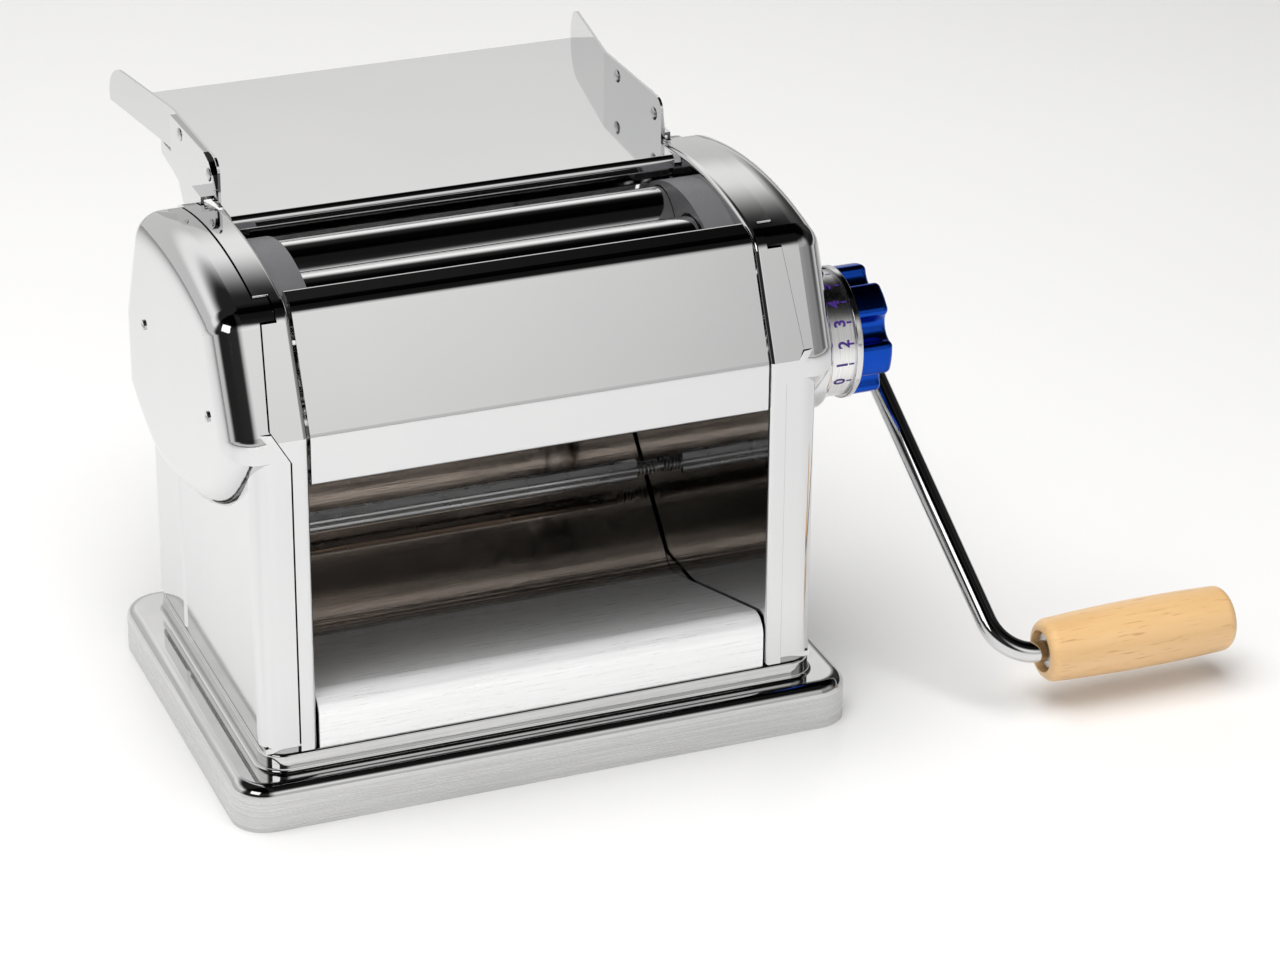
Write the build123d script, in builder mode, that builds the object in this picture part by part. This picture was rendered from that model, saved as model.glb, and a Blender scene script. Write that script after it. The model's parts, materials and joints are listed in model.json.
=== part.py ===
from build123d import *
import math
import os

os.makedirs("parts", exist_ok=True)

# A hand-cranked sheet roller.  Millimetres, X along the rollers, +Y to the back, +Z up.
# The origin is the middle of the base's underside, which rests on the table.

# ---- base
base_length = 293.0
base_depth = 201.0
base_corner = 16.0
base_top = 22.0
base_edge = 6.0
base_wall = 2.0
inner_length = base_length - 2 * base_wall
inner_depth = base_depth - 2 * base_wall
plinth_half = 131.5
plinth_depth = 176.0
plinth_corner = 12.0
plinth_wall = 2.0
plinth_edge = 1.5
plinth_root = 2.0
well_half = 106.0
well_front = -80.0
well_back = 76.0
foot_pad_radius = 11.0
foot_pad_collar = 1.5
foot_pad_x = 125.0
foot_pad_y = 80.0
foot_pad_places = [
    (foot_pad_x, foot_pad_y),
    (-foot_pad_x, foot_pad_y),
    (foot_pad_x, -foot_pad_y),
    (-foot_pad_x, -foot_pad_y),
]
foot_bolt_x = 121.5
foot_bolt_radius = 2.5
bolt_tail = 5.0
bolt_head_radius = 4.5
bolt_head_height = 3.5
foot_bolt_places = [(foot_bolt_x, -66), (-foot_bolt_x, -66), (foot_bolt_x, 63), (-foot_bolt_x, 63)]

# ---- body, seen from the side
body_bottom = 31.0
body_front = -88.5
body_back = 85.5
body_middle = (body_front + body_back) / 2
crease_z = 182.4
crown_z = 233.8
crown_inset = 23.5
crown_peak = 242.4
crown_radius = 13.0

# ---- end frames: a plate with a polished rim bent outwards
frame_inner = 106.8
frame_plate = 3.0
frame_outer = frame_inner + frame_plate
rim_thickness = 2.5
rim_low = 114.3
rim_high = 123.0
rim_top = 119.5
rim_step_low_z = 172.0
rim_step_high_z = 187.0
rim_taper_z = 229.0
rim_bend = 2.2
notch_x = 112.8
notch_y = -54.5
notch_z = 228.5
seam_gap = 0.5
foot_flange = 2.5
foot_flange_reach = 130.0

# ---- drawn side covers
cover_step = 1.0
cover_skin = 2.0
casing_side = 142.0
casing_radius = 14.0
leg_side = 131.5
leg_radius = 9.0
leg_top = 186.0
dial_boss_radius = 33.0
dial_boss_side = 143.5
dial_boss_edge = 3.0
dial_boss_web = 9.0

# ---- rollers
roller_radius = 17.5
roller_z = 214.4
rear_roller_y = 6.5
rest_gap = 2.3
least_gap = 0.3
widest_gap = 5.3
roller_half = 105.8
journal_radius = 8.0
gear_seat_radius = 7.0
running_fit = 0.05
journal_slack = 0.6
bush_radius = 11.0
front_roller_y = rear_roller_y - 2 * roller_radius - rest_gap
opening_travel = widest_gap - rest_gap
closing_travel = rest_gap - least_gap

# ---- gears
gear_start = 119.0
gear_end = 129.0
roller_gear_teeth = 12
roller_gear_module = 3.0
pinion_teeth = 14
drive_gear_teeth = 27
drive_module = 2.5

# ---- drive shaft and crank
drive_y = 26.5
drive_z = 167.1
socket_face = 144.0
socket_square = 8.0
crank_square = 7.6
crank_radius = 5.0
crank_knee = (185.0, drive_y, drive_z)
handle_y = -114.5
handle_z = 27.3
crank_elbow = (215.0, handle_y, handle_z)
handle_start = 234.0
handle_end = 330.0
handle_radius = 16.3

# ---- thickness regulator
dial_y = -42.8
dial_z = 171.2
regulator_shaft_radius = 6.0
cam_start = 110.3
cam_end = 118.3
cam_rest_radius = 11.0
cam_rise = 0.5
dial_step = 19.4
dial_radius = 28.8

# ---- sheet parts between the end frames
panel_half = 105.8
panel_sheet = 1.5
chute_sheet = 1.2
tray_sheet = 1.2
tray_half = 105.0
tray_top = 239.0

sides = {"right": 1, "left": -1}


# ------------------------------------------------------------------ building helpers
def disc_sketch(x, centre, radius):
    """A circle in the plane across the machine at x."""
    with BuildSketch(Plane.YZ.offset(x)) as sketch:
        with Locations(centre):
            Circle(radius)
    return sketch.sketch


def outline_sketch(x, points, radius=0.0):
    """A closed outline in the plane across the machine at x, its corners rounded."""
    with BuildSketch(Plane.YZ.offset(x)) as sketch:
        with BuildLine():
            Polyline(*points, close=True)
        make_face()
        if radius:
            fillet(sketch.vertices(), radius)
    return sketch.sketch


def sheet_sketch(x, points, bend, thickness):
    """A folded sheet seen edge-on: a bent centre line with a thickness."""
    with BuildSketch(Plane.YZ.offset(x)) as sketch:
        with BuildLine():
            FilletPolyline(*points, radius=bend)
        trace(line_width=thickness)
    return sketch.sketch


def rod(x_start, x_end, centre, radius, mode=Mode.ADD):
    """A round bar along X, added to or cut from the part being built."""
    extrude(disc_sketch(x_start, centre, radius), amount=x_end - x_start, mode=mode)


def slab(x_start, x_end, points, radius=0.0, mode=Mode.ADD):
    """A flat plate across the machine, from its outline."""
    extrude(outline_sketch(x_start, points, radius), amount=x_end - x_start, mode=mode)


def rectangle_points(y_start, y_end, z_start, z_end):
    return [(y_start, z_start), (y_end, z_start), (y_end, z_end), (y_start, z_end)]


def save(part, name):
    part.label = name
    export_step(part, f"parts/{name}.step")


def save_both_sides(part, name):
    """Write a right-hand part, and its mirror image for the left."""
    save(part, f"{name}_right")
    with BuildPart() as mirrored:
        mirror(part, about=Plane.YZ)
    save(mirrored.part, f"{name}_left")


def save_pair(part, name):
    """Write a right-hand part and its mirror image as one group of separate solids."""
    with BuildPart() as pair:
        add(part)
        mirror(part, about=Plane.YZ)
    save(pair.part, name)


def body_sketch(x, inset=0.0, sharp=False):
    """The body seen from the side, drawn inwards by the inset."""
    with BuildSketch(Plane.YZ.offset(x)) as sketch:
        with BuildLine():
            crown_start = (body_front + crown_inset, crown_z)
            crown_end = (body_back - crown_inset, crown_z)
            Polyline(
                crown_start,
                (body_front, crease_z),
                (body_front, body_bottom),
                (body_back, body_bottom),
                (body_back, crease_z),
                crown_end,
            )
            ThreePointArc(crown_start, (body_middle, crown_peak), crown_end)
        make_face()
        if not sharp:
            fillet(sketch.vertices().group_by(Axis.Y)[-1], crown_radius)
        if inset:
            offset(amount=-inset, kind=Kind.INTERSECTION)
    return sketch.sketch


# ------------------------------------------------------------------ base
def build_base_shell():
    """The pressed foot: a rounded tray upside down, with the plinth raised out of its top."""
    well_depth = well_back - well_front
    well_centre = (0, (well_front + well_back) / 2)
    with BuildPart() as shell:
        with BuildSketch():
            RectangleRounded(base_length, base_depth, base_corner)
        extrude(amount=base_top)
        fillet(shell.edges().group_by(Axis.Z)[-1], base_edge)
        with BuildSketch(Plane.XY.offset(base_top)):
            with Locations((0, body_middle)):
                RectangleRounded(2 * plinth_half, plinth_depth, plinth_corner)
        extrude(amount=body_bottom - base_top)
        fillet(shell.edges().group_by(Axis.Z)[-1], plinth_edge)
        foot_edges = shell.edges().filter_by_position(Axis.Z, base_top - 0.1, base_top + 0.1)
        inner_edges = foot_edges.filter_by_position(Axis.X, -plinth_half - 1, plinth_half + 1)
        fillet(inner_edges, plinth_root)
        with BuildSketch():
            RectangleRounded(inner_length, inner_depth, base_corner - base_wall)
        extrude(amount=base_top - base_wall, mode=Mode.SUBTRACT)
        with BuildSketch(Plane.XY.offset(base_top - base_wall)):
            with Locations((0, body_middle)):
                hollow_length = 2 * (plinth_half - plinth_wall)
                RectangleRounded(hollow_length, plinth_depth - 2 * plinth_wall, plinth_corner - plinth_wall)
            with Locations(well_centre):
                walled_length = 2 * (well_half + plinth_wall)
                Rectangle(walled_length, well_depth + 2 * plinth_wall, mode=Mode.SUBTRACT)
        extrude(amount=body_bottom - base_top, mode=Mode.SUBTRACT)
        with BuildSketch(Plane.XY.offset(base_top)):
            with Locations(well_centre):
                Rectangle(2 * well_half, well_depth)
        extrude(amount=body_bottom, mode=Mode.SUBTRACT)
        with BuildSketch(Plane.XY.offset(base_top)):
            with Locations(*foot_bolt_places):
                Circle(foot_bolt_radius)
        extrude(amount=body_bottom, mode=Mode.SUBTRACT)
    save(shell.part, "base_shell")


def build_bottom_plate():
    """The closing sheet inside the shell's rim; its underside is the resting face."""
    plate_fit = 0.2
    with BuildPart() as plate:
        with BuildSketch():
            RectangleRounded(inner_length - plate_fit, inner_depth - plate_fit, base_corner - base_wall)
            with Locations(*foot_pad_places):
                Circle(foot_pad_radius, mode=Mode.SUBTRACT)
        extrude(amount=base_wall)
    save(plate.part, "bottom_plate")


def build_foot_pads():
    """Rubber discs set flush in the closing sheet, each held by a collar above it."""
    with BuildPart() as pads:
        with BuildSketch():
            with Locations(*foot_pad_places):
                Circle(foot_pad_radius)
        extrude(amount=base_wall)
        with BuildSketch(Plane.XY.offset(base_wall)):
            with Locations(*foot_pad_places):
                Circle(foot_pad_radius + base_wall)
        extrude(amount=foot_pad_collar)
    save(pads.part, "foot_pads")


build_base_shell()
build_bottom_plate()
build_foot_pads()

# Bolts that hold the end frames' foot flanges down on the plinth, hidden by the covers.
with BuildPart() as foot_bolts:
    with BuildSketch(Plane.XY.offset(body_bottom - bolt_tail)):
        with Locations(*foot_bolt_places):
            Circle(foot_bolt_radius)
    extrude(amount=bolt_tail + foot_flange)
    with BuildSketch(Plane.XY.offset(body_bottom + foot_flange)):
        with Locations(*foot_bolt_places):
            RegularPolygon(bolt_head_radius, 6)
    extrude(amount=bolt_head_height)
save(foot_bolts.part, "foot_bolts")

# ------------------------------------------------------------------ end frames
tie_rod_places = [(-74, 196), (66, 200), (-77, 42), (72, 50)]
tie_thread_radius = 3.0
scraper_rod_places = [(-50, 180), (22, 184)]
scraper_rod_radius = 3.0
tray_slot_y = (47.0, 63.0)
tray_slot_x = (110.5, 113.0)
stretcher_y = 44.5
stretcher_z = 72.0
stretcher_pin_radius = 2.0
drive_bush_radius = 11.0


def rim_zone(gap=0.0):
    """Everything that belongs to the rim, grown by a gap: up to the cover's edge, less the crown's notch."""
    with BuildPart() as zone:
        with BuildSketch(Plane.XZ):
            with BuildLine():
                Polyline(
                    (frame_inner, body_bottom - 1),
                    (rim_low + gap, body_bottom - 1),
                    (rim_low + gap, rim_step_low_z),
                    (rim_high + gap, rim_step_high_z),
                    (rim_top + gap, rim_taper_z),
                    (rim_top + gap, crown_peak + 1),
                    (frame_inner, crown_peak + 1),
                    close=True,
                )
            make_face()
        extrude(amount=base_depth, both=True)
        with BuildSketch(Plane.YZ.offset(notch_x + gap)):
            with BuildLine():
                notch_view = rectangle_points(body_front - 1, notch_y - gap, notch_z + gap, crown_peak + 2)
                Polyline(*notch_view, close=True)
            make_face()
        extrude(amount=rim_high - notch_x, mode=Mode.SUBTRACT)
    return zone.part


def build_side_frame():
    """The right end frame without the drive's bearing hole."""
    with BuildPart() as frame:
        extrude(body_sketch(frame_inner), amount=rim_high - frame_inner)
        fillet(frame.faces().sort_by(Axis.X)[0].edges(), rim_bend)
        extrude(body_sketch(frame_outer, rim_thickness), amount=rim_high, mode=Mode.SUBTRACT)
        add(rim_zone(), mode=Mode.INTERSECT)
        flange_bottom = Plane.XY.offset(body_bottom)
        with BuildSketch(flange_bottom):
            with Locations(((frame_outer + foot_flange_reach) / 2, body_middle)):
                flange_length = body_back - body_front - 2 * rim_thickness
                Rectangle(foot_flange_reach - frame_outer, flange_length)
        extrude(amount=foot_flange)
        with BuildSketch(flange_bottom):
            with Locations(*foot_bolt_places):
                Circle(foot_bolt_radius)
        extrude(amount=foot_flange, mode=Mode.SUBTRACT)
        # rear bush seat, and the slot along which the front journal slides
        rod(frame_inner, frame_outer, (rear_roller_y, roller_z), bush_radius, Mode.SUBTRACT)
        journal_clearance = journal_radius + journal_slack
        slot_start = front_roller_y - opening_travel
        slot_end = front_roller_y + closing_travel
        rod(frame_inner, frame_outer, (slot_start, roller_z), journal_clearance, Mode.SUBTRACT)
        rod(frame_inner, frame_outer, (slot_end, roller_z), journal_clearance, Mode.SUBTRACT)
        slot_bottom = roller_z - journal_clearance
        slot_view = rectangle_points(slot_start, slot_end, slot_bottom, roller_z + journal_clearance)
        slab(frame_inner, frame_outer, slot_view, mode=Mode.SUBTRACT)
        rod(frame_inner, frame_outer, (dial_y, dial_z), regulator_shaft_radius + running_fit, Mode.SUBTRACT)
        for place in tie_rod_places:
            rod(frame_inner, frame_outer, place, tie_thread_radius, Mode.SUBTRACT)
        for place in scraper_rod_places:
            rod(frame_inner, frame_outer, place, scraper_rod_radius, Mode.SUBTRACT)
        rod(frame_inner, frame_outer, (stretcher_y, stretcher_z), stretcher_pin_radius, Mode.SUBTRACT)
        # the slot in the crown that takes the tray's foot
        with BuildSketch(Plane.XY.offset(crown_z - 8)):
            with Locations((sum(tray_slot_x) / 2, sum(tray_slot_y) / 2)):
                Rectangle(tray_slot_x[1] - tray_slot_x[0], tray_slot_y[1] - tray_slot_y[0])
        extrude(amount=20, mode=Mode.SUBTRACT)
    return frame.part


frame_blank = build_side_frame()
with BuildPart() as side_frame_right:
    add(frame_blank)
    rod(frame_inner, frame_outer, (drive_y, drive_z), drive_bush_radius, Mode.SUBTRACT)
save(side_frame_right.part, "side_frame_right")
with BuildPart() as side_frame_left:
    mirror(frame_blank, about=Plane.YZ)
save(side_frame_left.part, "side_frame_left")

# ------------------------------------------------------------------ side covers
belly_points = [
    (body_front - 1, 175.5),
    (-70, 152.5),
    (-51.8, 137.5),
    (0, 121.8),
    (34.5, 118.5),
    (57.2, 124.5),
    (body_back + 1, 141),
]
cover_foot = body_bottom + foot_flange + 0.2
cover_screw_places = {"right": [(-60, 208), (68, 178)], "left": [(-57.5, 185), (44.5, 185)]}
post_radius = 4.0
post_neck = 1.2
post_neck_radius = 2.5
screw_radius = 1.5
screw_head_radius = 2.4
screw_head_height = 0.8
screw_slot = 0.8
screw_end = frame_outer + 20
post_bore_start = frame_outer + 18
socket_radius = 10.0
shaft_clearance = 0.5
crease_y = 34.5
crease_half = 4.5
crease_depth = 1.2
crease_top = 116.0


def cover_leg(skin):
    """The narrow lower part of the cover, standing on the end frame's foot flange."""
    with BuildPart() as leg:
        with BuildSketch(Plane.XY.offset(cover_foot)):
            with Locations(((frame_outer + leg_side - skin) / 2, body_middle)):
                leg_length = body_back - body_front - 2 * (cover_step + skin)
                Rectangle(leg_side - skin - frame_outer, leg_length)
        extrude(amount=leg_top - cover_foot)
        fillet(leg.edges().filter_by(Axis.Z).group_by(Axis.X)[-1], leg_radius - skin)
    return leg.part


def cover_form(skin):
    """The cover's outside, or its inside when drawn inwards by the skin."""
    leg = cover_leg(skin)
    with BuildPart() as form:
        casing_width = casing_side - skin - frame_outer
        extrude(body_sketch(frame_outer, cover_step + skin, sharp=True), amount=casing_width)
        with BuildSketch(Plane.YZ.offset(frame_outer)):
            with BuildLine():
                lower_edge = [(y, z + skin) for y, z in belly_points]
                Spline(*lower_edge)
                Polyline(lower_edge[-1], (body_back + 1, 0), (body_front - 1, 0), lower_edge[0])
            make_face()
        extrude(amount=casing_width, mode=Mode.SUBTRACT)
        side_face = form.faces().sort_by(Axis.X)[-1]
        corner_edges = form.edges().filter_by(Axis.X)
        fillet(side_face.edges() + corner_edges, casing_radius - skin)
        add(leg)
    return form.part


def build_side_cover(side):
    """One drawn shell: leg and gear casing, open towards the end frame."""
    with BuildPart() as cover:
        add(cover_outside)
        if side == "right":
            rod(leg_side, dial_boss_side, (dial_y, dial_z), dial_boss_radius)
            boss_rim = cover.faces().sort_by(Axis.X)[-1].edges().filter_by(GeomType.CIRCLE)
            fillet(boss_rim, dial_boss_edge)
        add(cover_inside, mode=Mode.SUBTRACT)
        add(rim_zone(seam_gap), mode=Mode.SUBTRACT)
        if side == "right":
            rod(leg_side, casing_side, (dial_y, dial_z), dial_boss_radius - dial_boss_web, Mode.SUBTRACT)
            shaft_opening = regulator_shaft_radius + shaft_clearance
            rod(casing_side, dial_boss_side, (dial_y, dial_z), shaft_opening, Mode.SUBTRACT)
            rod(leg_side, casing_side, (drive_y, drive_z), socket_radius + shaft_clearance, Mode.SUBTRACT)
        for place in cover_screw_places[side]:
            rod(leg_side, casing_side, place, screw_radius, Mode.SUBTRACT)
        # the pressed crease down the leg's outer side
        with BuildSketch(Plane.XY.offset(cover_foot)):
            with BuildLine():
                Polyline(
                    (leg_side + 0.5, crease_y - crease_half),
                    (leg_side - crease_depth, crease_y),
                    (leg_side + 0.5, crease_y + crease_half),
                    close=True,
                )
            make_face()
        extrude(amount=crease_top - cover_foot, mode=Mode.SUBTRACT)
    if side == "right":
        return cover.part
    with BuildPart() as mirrored:
        mirror(cover.part, about=Plane.YZ)
    return mirrored.part


cover_outside = cover_form(0)
cover_inside = cover_form(cover_skin)

save(build_side_cover("right"), "side_cover_right")
save(build_side_cover("left"), "side_cover_left")

# Posts between each end frame and its cover, and the small screws through the cover.
with BuildPart() as cover_posts:
    for side, direction in sides.items():
        for place in cover_screw_places[side]:
            bore_end = direction * (casing_side - cover_skin)
            shoulder = bore_end - direction * post_neck
            rod(direction * frame_outer, shoulder, place, post_radius)
            rod(shoulder, bore_end, place, post_neck_radius)
            rod(direction * post_bore_start, bore_end, place, screw_radius, Mode.SUBTRACT)
save(cover_posts.part, "cover_posts")

with BuildPart() as cover_screws:
    for side, direction in sides.items():
        for place in cover_screw_places[side]:
            head_face = direction * (casing_side + screw_head_height)
            rod(direction * screw_end, direction * casing_side, place, screw_radius)
            rod(direction * casing_side, head_face, place, screw_head_radius)
            slot_floor = casing_side + screw_head_height / 2
            with BuildSketch(Plane.YZ.offset(direction * slot_floor)):
                with Locations(place):
                    Rectangle(2 * screw_head_radius, screw_slot)
            extrude(amount=direction * screw_head_height, mode=Mode.SUBTRACT)
save(cover_screws.part, "cover_screws")

# ------------------------------------------------------------------ sheets between the end frames
panel_face = body_front + panel_sheet / 2 + 0.3
panel_back_face = body_back - panel_sheet / 2 - 0.3
panel_hem_y = -53.5
front_lip_z = 160.0

with BuildPart() as front_panel:
    front_path = [
        (panel_face + 7, front_lip_z + 1.5),
        (panel_face + 3, front_lip_z),
        (panel_face, front_lip_z),
        (panel_face, crease_z),
        (-64.6, 233.2),
        (panel_hem_y, 236.2),
        (panel_hem_y + 0.4, 229),
    ]
    extrude(sheet_sketch(0, front_path, (1.5, 1.5, 5, 7, 1.2), panel_sheet), amount=panel_half, both=True)
save(front_panel.part, "front_panel")

with BuildPart() as rear_panel:
    rear_path = [
        (panel_back_face, body_bottom),
        (panel_back_face, crease_z),
        (66.2, 226),
        (33.5, 230.6),
        (33.0, 224),
    ]
    extrude(sheet_sketch(0, rear_path, (5, 7, 1.5), panel_sheet), amount=panel_half, both=True)
save(rear_panel.part, "rear_panel")

chute_face = body_front + chute_sheet / 2 + 0.3
with BuildPart() as chute:
    chute_path = [
        (chute_face, body_bottom),
        (chute_face, 57.2),
        (26.3, 23.6),
        (panel_back_face - 5, 77),
    ]
    extrude(sheet_sketch(0, chute_path, (8, 10), chute_sheet), amount=well_half - 0.3, both=True)
save(chute.part, "chute")

# ------------------------------------------------------------------ rods that tie the end frames
tie_rod_radius = 4.0
tie_rod_end = frame_outer + 5
with BuildPart() as tie_rods:
    for place in tie_rod_places:
        rod(-frame_inner, frame_inner, place, tie_rod_radius)
        rod(-tie_rod_end, tie_rod_end, place, tie_thread_radius)
save(tie_rods.part, "tie_rods")

with BuildPart() as tie_rod_nuts:
    for direction in sides.values():
        for place in tie_rod_places:
            with BuildSketch(Plane.YZ.offset(direction * frame_outer)) as nut:
                with Locations(place):
                    RegularPolygon(5.5, 6)
                    Circle(tie_thread_radius, mode=Mode.SUBTRACT)
            extrude(amount=direction * 4.5)
save(tie_rod_nuts.part, "tie_rod_nuts")

# A flat bar with a rolled lower edge, low down at the back, on pins in the end frames.
stretcher_half = 95.0
with BuildPart() as lower_stretcher:
    slab(
        -stretcher_half,
        stretcher_half,
        rectangle_points(stretcher_y - 1.2, stretcher_y + 1.2, stretcher_z - 3.5, stretcher_z + 5),
    )
    rod(-stretcher_half, stretcher_half, (stretcher_y, stretcher_z - 3), 2.4)
    rod(-frame_outer, frame_outer, (stretcher_y, stretcher_z), stretcher_pin_radius)
save(lower_stretcher.part, "lower_stretcher")


def coil(start, direction, length, radius, wire, turns):
    """A helical spring of round wire, added to the part being built."""
    with BuildLine() as spiral:
        Helix(length / turns, length, radius, center=start, direction=direction)
    start_point = spiral.line @ 0
    start_tangent = spiral.line % 0
    with BuildSketch(Plane(origin=start_point, z_dir=start_tangent)) as wire_section:
        Circle(wire)
    sweep(wire_section.sketch, path=spiral.line, is_frenet=True)


with BuildPart() as stretcher_springs:
    coil((stretcher_half + 1, stretcher_y, stretcher_z), (1, 0, 0), 9.5, 3.0, 0.5, 5)
    mirror(about=Plane.YZ)
save(stretcher_springs.part, "stretcher_springs")

# ------------------------------------------------------------------ rollers
rear_centre = (rear_roller_y, roller_z)
front_centre = (front_roller_y, roller_z)
gear_seat_end = gear_end + 2

with BuildPart() as rear_roller:
    rod(-roller_half, roller_half, rear_centre, roller_radius)
    rod(-gear_start, gear_start, rear_centre, journal_radius)
    rod(-gear_seat_end, gear_seat_end, rear_centre, gear_seat_radius)
save(rear_roller.part, "rear_roller")

with BuildPart() as front_roller:
    rod(-roller_half, roller_half, front_centre, roller_radius)
    rod(-gear_start, gear_start - 0.5, front_centre, journal_radius)
    rod(-gear_seat_end, 0, front_centre, gear_seat_radius)
save(front_roller.part, "front_roller")

rear_bush_flange = 13.0
with BuildPart() as rear_bushes:
    for direction in sides.values():
        rod(direction * frame_inner, direction * (frame_outer + 3.5), rear_centre, bush_radius)
        rod(direction * frame_outer, direction * (frame_outer + 1.5), rear_centre, rear_bush_flange)
    rod(-frame_outer - 4, frame_outer + 4, rear_centre, journal_radius + running_fit, Mode.SUBTRACT)
save(rear_bushes.part, "rear_roller_bushes")


# ------------------------------------------------------------------ gears
def gear_tooth(teeth, module, outer, root, width):
    """Outline of one tooth pointing along +X of its sketch, with involute flanks."""
    pitch_radius = teeth * module / 2
    base_radius = pitch_radius * math.cos(pressure_angle)
    pitch_involute = math.tan(pressure_angle) - pressure_angle
    flank = []
    for step in range(flank_steps + 1):
        radius = base_radius + (outer - base_radius) * step / flank_steps
        angle = math.acos(base_radius / radius)
        half_angle = width / (2 * pitch_radius) + pitch_involute - (math.tan(angle) - angle)
        flank.append((radius * math.cos(half_angle), radius * math.sin(half_angle)))
    base_half_angle = width / (2 * pitch_radius) + pitch_involute
    foot_radius = root - 0.5
    foot = (foot_radius * math.cos(base_half_angle), foot_radius * math.sin(base_half_angle))
    upper = [foot] + flank
    return upper + [(x, -y) for x, y in reversed(upper)]


def gear(centre, teeth, module, shape, bore, phase, direction):
    """A spur gear on the given side of the machine, in the part being built."""
    tooth = gear_tooth(teeth, module, *shape)
    with BuildSketch(Plane.YZ.offset(direction * gear_start)) as profile:
        with Locations(centre):
            Circle(shape[1])
            with PolarLocations(0, teeth, start_angle=phase):
                Polygon(*tooth, align=None)
            Circle(bore, mode=Mode.SUBTRACT)
    extrude(profile.sketch, amount=direction * (gear_end - gear_start))


pressure_angle = math.radians(20)
flank_steps = 4
roller_tooth = (20.7, 14.0, 3.6)
pinion_tooth = (19.9, 14.2, 3.4)
drive_tooth = (35.9, 30.4, 3.4)
mesh_direction = math.degrees(math.atan2(drive_z - roller_z, drive_y - rear_roller_y))

with BuildPart() as roller_gear_rear:
    gear(rear_centre, roller_gear_teeth, roller_gear_module, roller_tooth, gear_seat_radius, 180, -1)
save(roller_gear_rear.part, "roller_gear_rear")

with BuildPart() as roller_gear_front:
    half_pitch = 180 / roller_gear_teeth
    gear(front_centre, roller_gear_teeth, roller_gear_module, roller_tooth, gear_seat_radius, half_pitch, -1)
save(roller_gear_front.part, "roller_gear_front")

with BuildPart() as drive_pinion:
    gear(rear_centre, pinion_teeth, drive_module, pinion_tooth, gear_seat_radius, mesh_direction, 1)
save(drive_pinion.part, "drive_pinion")

with BuildPart() as drive_gear:
    gear_phase = mesh_direction + 180 + 180 / drive_gear_teeth
    gear((drive_y, drive_z), drive_gear_teeth, drive_module, drive_tooth, socket_radius, gear_phase, 1)
save(drive_gear.part, "drive_gear")

# ------------------------------------------------------------------ carriage of the front roller
carrier_head = (-46.8, -14.8, 200.4, 228.4)
carrier_arm = (-31.45, -19.45, 160.0, 200.4)
with BuildPart() as carrier:
    slab(cam_start, cam_end, rectangle_points(*carrier_head), 3)
    slab(cam_start, cam_end, rectangle_points(carrier_arm[0], carrier_arm[1], carrier_arm[2], 206))
    rod(cam_start, cam_end, front_centre, bush_radius, Mode.SUBTRACT)
save_both_sides(carrier.part, "roller_carrier")

with BuildPart() as front_bush:
    rod(cam_start, cam_end, front_centre, bush_radius)
    rod(cam_start, cam_end, front_centre, journal_radius + running_fit, Mode.SUBTRACT)
save_pair(front_bush.part, "front_roller_bushes")

# Rails above and below the sliding blocks.
with BuildPart() as guide:
    slab(frame_outer, cam_end + 0.4, rectangle_points(-56, -10, 228.8, 232))
    slab(frame_outer, cam_end + 0.4, rectangle_points(-60, -36.5, 196.4, 200.0))
save_pair(guide.part, "carrier_guides")

# Springs that hold each carrier against its cam, drawn at their shortest working length.
spring_z = 181.0
spring_x = (cam_start + cam_end) / 2
spring_seat_y = 2.0
with BuildPart() as carrier_spring:
    coil((spring_x, carrier_arm[1] + closing_travel + 1.2, spring_z), (0, 1, 0), 16.5, 3.4, 0.6, 6)
save_pair(carrier_spring.part, "carrier_springs")

with BuildPart() as spring_seat:
    seat_view = rectangle_points(spring_seat_y, spring_seat_y + 4, spring_z - 5, spring_z + 5)
    slab(frame_outer, cam_end, seat_view)
save_pair(spring_seat.part, "carrier_spring_seats")

# ------------------------------------------------------------------ scrapers and dough cheeks
scraper_half = 96.0
scraper_sheet = 1.2
scraper_tips = [(-31, 196.0), (6.7, 196.0)]
for label, rod_place, tip in zip(("front_scraper", "rear_scraper"), scraper_rod_places, scraper_tips):
    with BuildPart() as scraper:
        run = (tip[0] - rod_place[0], tip[1] - rod_place[1])
        reach = math.hypot(*run)
        along = (run[0] / reach, run[1] / reach)
        across = (-along[1] * scraper_sheet / 2, along[0] * scraper_sheet / 2)
        blade_start = (rod_place[0], rod_place[1])
        blade_points = [
            (blade_start[0] + across[0], blade_start[1] + across[1]),
            (blade_start[0] - across[0], blade_start[1] - across[1]),
            (tip[0] - across[0] - along[0], tip[1] - across[1] - along[1]),
            (tip[0], tip[1] - 0.3),
        ]
        slab(-scraper_half, scraper_half, blade_points)
        rod(-scraper_half, scraper_half, rod_place, scraper_rod_radius + 1.6)
        rod(-scraper_half, scraper_half, rod_place, scraper_rod_radius, Mode.SUBTRACT)
    save(scraper.part, label)

with BuildPart() as scraper_rods:
    for place in scraper_rod_places:
        rod(-frame_outer, frame_outer, place, scraper_rod_radius)
save(scraper_rods.part, "scraper_rods")

with BuildPart() as scraper_springs:
    for place in scraper_rod_places:
        coil((scraper_half + 1.2, *place), (1, 0, 0), 7.5, 4.0, 0.6, 4)
    mirror(about=Plane.YZ)
save(scraper_springs.part, "scraper_springs")

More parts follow.
